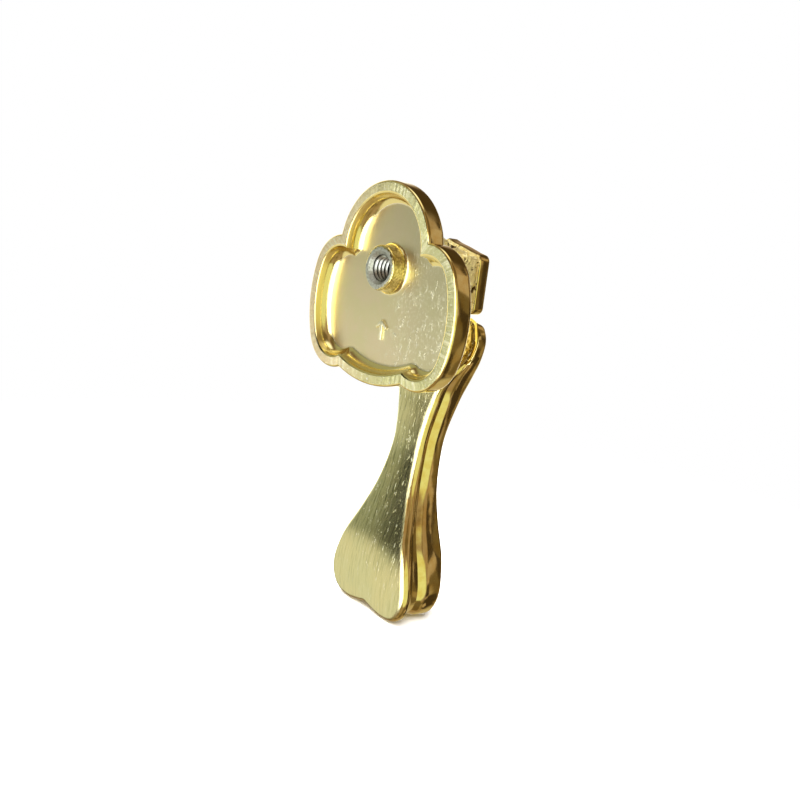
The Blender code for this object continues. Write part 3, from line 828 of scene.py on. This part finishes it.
def front_cap():
    """The domed cap with a crisp back edge, slotted for the knuckle and drilled for the pin from the left."""
    outline = cap_outline()
    spine = (CAP_SHOULDER_Z - 2, CAP_BOTTOM_Z + 3)
    wall_top = CAP_BACK_Y + CAP_WALL
    layers = [(inset, CAP_BACK_Y + CAP_BACK_R - rise) for inset, rise in reversed(rounded(CAP_BACK_R, 4))]
    layers += [(inset, wall_top - CAP_EDGE_R + rise) for inset, rise in rounded(CAP_EDGE_R)]
    for share in [i / 10 for i in range(1, 11)]:
        crown = CAP_CROWN * (1 - (1 - share) ** 2)
        layers.append((CAP_EDGE_R + share * (CAP_HALF - CAP_EDGE_R), wall_top + crown))
    rings = [[(p.x, y, p.y) for p in towards(outline, spine, inset / CAP_HALF)] for inset, y in layers]
    cap = grow("front_cap_shell", rings, last_spine=True)
    cap.data.materials.append(POLISHED)
    cap.data.materials.append(CAST)
    for face in cap.data.polygons:
        face.material_index = 1 if face.normal.y < -0.95 else 0
    combine(cap, knuckle_slot("cap_slot"), "DIFFERENCE")
    pin_hole = rod("pin_hole", PIN_R + PIN_GAP, -CAP_HALF - DRILL_PAST, CAP_HALF - PIN_WALL)
    combine(cap, pin_hole, "DIFFERENCE")
    shade(cap)
    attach(cap, "mounted_base")
    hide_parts("front_cap")


def hinge_pin():
    """The plain pin, pushed in from the left."""
    pin = rod("hinge_pin_rod", PIN_R, PIN_INSET - CAP_HALF, CAP_HALF - PIN_WALL - FIT_GAP, PIN_EDGE)
    shade(pin)
    wear(pin, STEEL)
    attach(pin, "mounted_base")
    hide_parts("hinge_pin")


def pendant():
    """The hanging handle: a brushed back with a bright rounded edge, a cove, and a domed front tier."""
    outline = pendant_outline()
    top = CAP_BOTTOM_Z - HEAD_GAP
    spine = (top - 3, PENDANT_EDGE[-3][1] + 6.5)

    def ring(points, depth):
        """The points placed at the depth that their own height gives, with the head's top sloped."""
        placed = []
        for p in points:
            y = depth(p.y)
            near_top = max(0, 1 - (top - p.y) / HEAD_SLOPE_REACH)
            placed.append((p.x, y, p.y - HEAD_SLOPE * max(0, y - BACK_Y[0]) * near_top))
        return placed

    def back(z):
        return level(TIER_Z, BACK_Y, z)

    def step(z):
        return level(TIER_Z, STEP_Y, z)

    def front(z):
        return level(TIER_Z, FRONT_Y, z)

    def between(z, share):
        return back(z) + (step(z) - back(z)) * share

    def cove(z, share):
        start = min(back(z) + band, between(z, COVE_SHARE))
        return start + (between(z, STEP_SHARE) - start) * share * share

    band = BACK_ROUND + BACK_BAND
    rings = []
    for share in [i / 8 for i in range(8, 0, -1)]:
        points = towards(inwards(outline, BACK_ROUND), spine, share)
        crown = BACK_CROWN * (1 - (1 - share) ** 2)
        rings.append(ring(points, lambda z, c=crown: back(z) - c * level(TIER_Z, CROWN_SHARE, z)))
    for inset, rise in reversed(rounded(BACK_ROUND)):
        points = inwards(outline, inset)
        rings.append(ring(points, lambda z, r=rise: min(back(z) + BACK_ROUND - r, between(z, EDGE_SHARE))))
    brushed = len(rings) - POLISHED_EDGE_RINGS
    for share in (0, 0.25, 0.5, 0.75, 1):
        points = inwards(outline, TIER_COVE * math.sin(math.pi / 2 * share))
        rings.append(ring(points, lambda z, s=share: cove(z, s)))
    for share in (0.35, 0.7, 1):
        points = inwards(outline, TIER_COVE + (STEP_INSET - TIER_COVE) * math.sin(math.pi / 2 * share))
        rings.append(ring(points, lambda z, s=share: between(z, STEP_SHARE + (1 - STEP_SHARE) * s)))
    for inset, rise in rounded(FRONT_ROUND):
        rings.append(ring(inwards(outline, inset), lambda z, r=rise: front(z) - FRONT_ROUND + r))
    for share in [i / 9 for i in range(1, 10)]:
        points = towards(inwards(outline, FRONT_ROUND), spine, share)
        crown = PENDANT_CROWN * (1 - (1 - share) ** 2)
        rings.append(ring(points, lambda z, c=crown: front(z) + c))
    body = grow("pendant_shell", rings, first_spine=True, last_spine=True)
    body.data.materials.append(POLISHED)
    body.data.materials.append(BRUSHED)
    for face in body.data.polygons:
        on_back = face.index < brushed * len(outline) and face.normal.y < -0.8
        face.material_index = 1 if on_back else 0
    shade(body, math.radians(30))
    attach(body, "pendant")
    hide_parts("pendant")


def tongue():
    """The strap that rises from the pendant's head and closes round the pin."""
    top = CAP_BOTTOM_Z - HEAD_GAP
    eye = arc((PIVOT_Y, PIVOT_Z), KNUCKLE_R, 0, math.pi, 24)
    foot_front = level(TIER_Z, FRONT_Y, TONGUE_FOOT_Z) - TONGUE_SINK
    strap = [(PIVOT_Y - KNUCKLE_R, top), (TONGUE_BACK_Y, TONGUE_BEND_Z), (TONGUE_BACK_Y, TONGUE_FOOT_Z)]
    strap += [(foot_front, TONGUE_FOOT_Z), (PIVOT_Y + KNUCKLE_R - TONGUE_TAPER, top - TONGUE_SINK)]
    profile = eye + [Vector(point) for point in strap]
    sides = (-KNUCKLE_HALF, KNUCKLE_HALF)
    piece = grow("pendant_tongue", [[(x, p.x, p.y) for p in profile] for x in sides])
    hole = rod("eye_hole", PIN_R + PIN_GAP, -KNUCKLE_HALF - DRILL_PAST, KNUCKLE_HALF + DRILL_PAST)
    combine(piece, hole, "DIFFERENCE")
    corner = math.radians(50)
    modify(piece, "BEVEL", width=TONGUE_EDGE * MM, segments=3, limit_method="ANGLE", angle_limit=corner)
    shade(piece)
    wear(piece, POLISHED)
    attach(piece, "pendant")


# Studio


def camera():
    data = bpy.data.cameras.new("camera")
    data.lens = CAMERA_LENS
    data.clip_start = MM
    eye = bpy.data.objects.new("camera", data)
    forward = Vector(CAMERA_FORWARD).normalized()
    right = forward.cross(Vector(CAMERA_UP)).normalized()
    turn = Matrix((right, right.cross(forward), -forward)).transposed().to_4x4()
    eye.matrix_world = Matrix.Translation(Vector(CAMERA_AT) * MM) @ turn
    bpy.context.scene.collection.objects.link(eye)
    bpy.context.scene.camera = eye


def floor():
    alone()
    bpy.ops.mesh.primitive_plane_add(size=6, location=(0, 0, FLOOR_Z * MM))
    ground = bpy.context.object
    ground.name = "floor"
    paint = bpy.data.materials.new("pale_floor")
    paint.use_nodes = True
    shader = paint.node_tree.nodes["Principled BSDF"]
    shader.inputs["Base Color"].default_value = rgb(0.93, 0.93, 0.93)
    shader.inputs["Roughness"].default_value = 0.9
    shader.inputs["Specular IOR Level"].default_value = 0.0
    sheet = Sheet(paint.node_tree)
    far = sheet.add("VectorMath", {"operation": "LENGTH"}, {0: sheet.place()}, out="Value")
    sheet.tree.links.new(far.between(160, 70).socket, shader.inputs["Alpha"])
    ground.data.materials.append(paint)
    ground.visible_glossy = False


def softbox(name, at, size, power):
    """A square area light that looks at the pull's middle."""
    data = bpy.data.lights.new(name, "AREA")
    data.size = size * MM
    data.energy = power
    box = bpy.data.objects.new(name, data)
    look = Vector((0, 0, -20)) - Vector(at)
    box.visible_glossy = False
    turn = look.to_track_quat("-Z", "Y").to_matrix().to_4x4()
    box.matrix_world = Matrix.Translation(Vector(at) * MM) @ turn
    bpy.context.scene.collection.objects.link(box)


def studio():
    """A white room as the eye sees it, whose walls give the metal soft light and dark areas to reflect."""
    world = bpy.data.worlds.new("studio")
    world.use_nodes = True
    bpy.context.scene.world = world
    sheet = Sheet(world.node_tree)
    way = sheet.add("TexCoord", out="Generated")

    def facing(direction, near, far):
        """1 where the room is seen in this direction, and 0 from the far angle on, both in degrees."""
        unit = Vector(direction).normalized()
        cosine = sheet.add("VectorMath", {"operation": "DOT_PRODUCT"}, {0: way, 1: unit}, out="Value")
        return cosine.between(math.cos(math.radians(far)), math.cos(math.radians(near)))

    x, y, z = sheet.axes(way)
    room = sheet.mix(z.between(-0.5, 0.9), rgb(0.34, 0.25, 0.13), rgb(0.16, 0.10, 0.05))
    shapes = sheet.noise(way, 1.9, 1.0, 0.4, 0.6)
    room = sheet.mix(shapes.between(0.54, 0.57), room, rgb(0.40, 0.29, 0.20))
    room = sheet.mix(shapes.between(0.47, 0.44), room, rgb(0.17, 0.12, 0.055))
    squat = sheet.stretched(way, 1, 1, 0.7)
    blocks = sheet.add("TexVoronoi", {}, {"Vector": squat, "Scale": 4.2}, out="Color")
    ahead = facing((0.42, 0.88, -0.2), 46, 58)
    room = sheet.mix(blocks.between(0.56, 0.58) * ahead, room, rgb(0.50, 0.38, 0.27))
    room = sheet.mix(blocks.between(0.42, 0.40) * ahead, room, rgb(0.06, 0.04, 0.02))
    room = sheet.mix(facing((-0.2, 0.66, 0.73), 16, 36), room, rgb(0.07, 0.045, 0.02))
    room = sheet.mix(facing((-0.2, 0.66, -0.72), 12, 28), room, rgb(0.55, 0.46, 0.28))
    room = sheet.mix(facing((-0.85, -0.50, 0.25), 25, 44), room, rgb(0.38, 0.39, 0.28))
    room = sheet.mix(facing((-0.75, -0.54, -0.53), 23, 30), room, rgb(0.86, 0.83, 0.68))
    room = sheet.mix(facing((0.92, -0.37, -0.15), 29, 35), room, rgb(0.86, 0.88, 0.50))
    room = sheet.mix(facing((0.14, -0.98, -0.15), 26, 32), room, rgb(3.4, 3.4, 3.3))
    room = sheet.mix(facing((-0.50, -0.845, 0.16), 11, 17), room, rgb(0.02, 0.02, 0.012))
    room = sheet.mix(facing((-0.67, 0.74, -0.18), 16, 26), room, rgb(1.7, 1.7, 1.5))
    room = sheet.mix(facing((-0.95, 0.25, 0.1), 20, 36), room, rgb(1.5, 1.5, 1.4))
    room = sheet.mix(facing((0, -0.2, 1), 10, 26), room, rgb(1.4, 1.4, 1.35))
    seen = sheet.add("LightPath", out="Is Camera Ray")
    colour = sheet.mix(seen, room, rgb(1, 1, 1))
    sheet.tree.links.new(colour.socket, world.node_tree.nodes["Background"].inputs["Color"])


backplate()
boss_thread()
arrow_mark()
hinge_post()
front_cap()
hinge_pin()
pendant()
tongue()
floor()
camera()
studio()
softbox("key", (-120, -60, 300), 320, 4.0)
softbox("fill", (160, -160, 260), 320, 3.0)
bpy.context.scene.view_settings.view_transform = "Standard"
